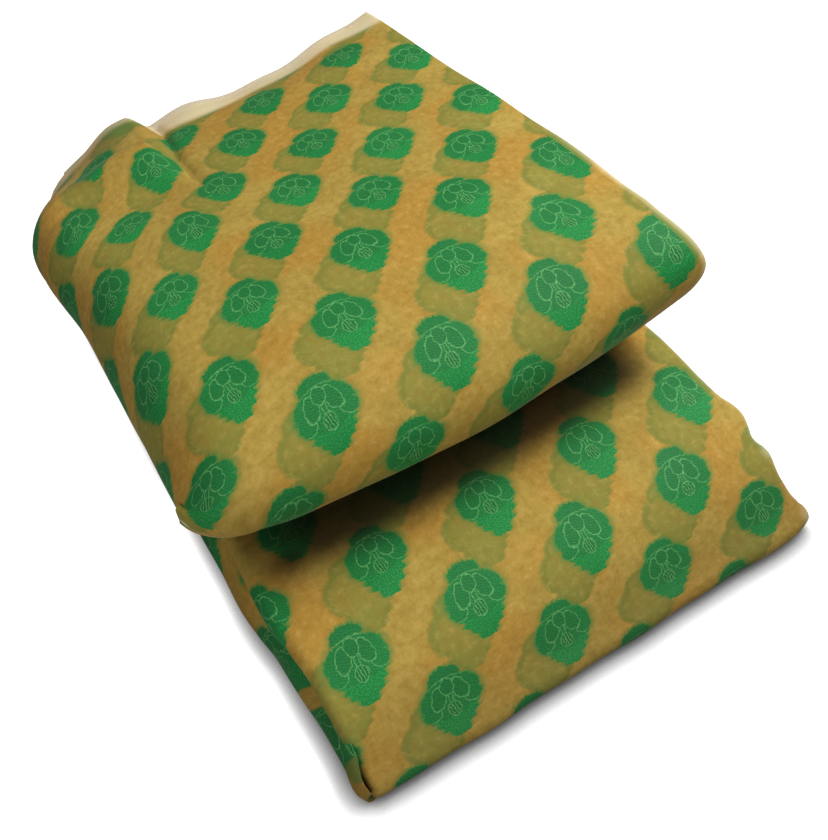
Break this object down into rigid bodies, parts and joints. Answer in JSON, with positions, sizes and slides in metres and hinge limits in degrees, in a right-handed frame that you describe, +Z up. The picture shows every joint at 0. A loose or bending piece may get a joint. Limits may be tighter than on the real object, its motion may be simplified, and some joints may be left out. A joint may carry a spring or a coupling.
{
  "type": "folded banarasi dress fabric",
  "caption": "Length of sheer tan cloth with woven green flower motifs, folded to a quarter of its width and lapped into two soft bundles, one resting on the other.",
  "frame": {"origin": "middle of the footprint, on the table plane under the lower bundle", "axes": "+X to the right along the folds, +Y from the front towards the back of the bundles, +Z up"},
  "size_m": [0.2606, 0.3968, 0.1268],
  "materials": {
    "fabric": "soft sheen, sheer plain weave with green figures"
  },
  "bodies": {
    "root": {"fabric": "fabric"}
  },
  "joints": []
}
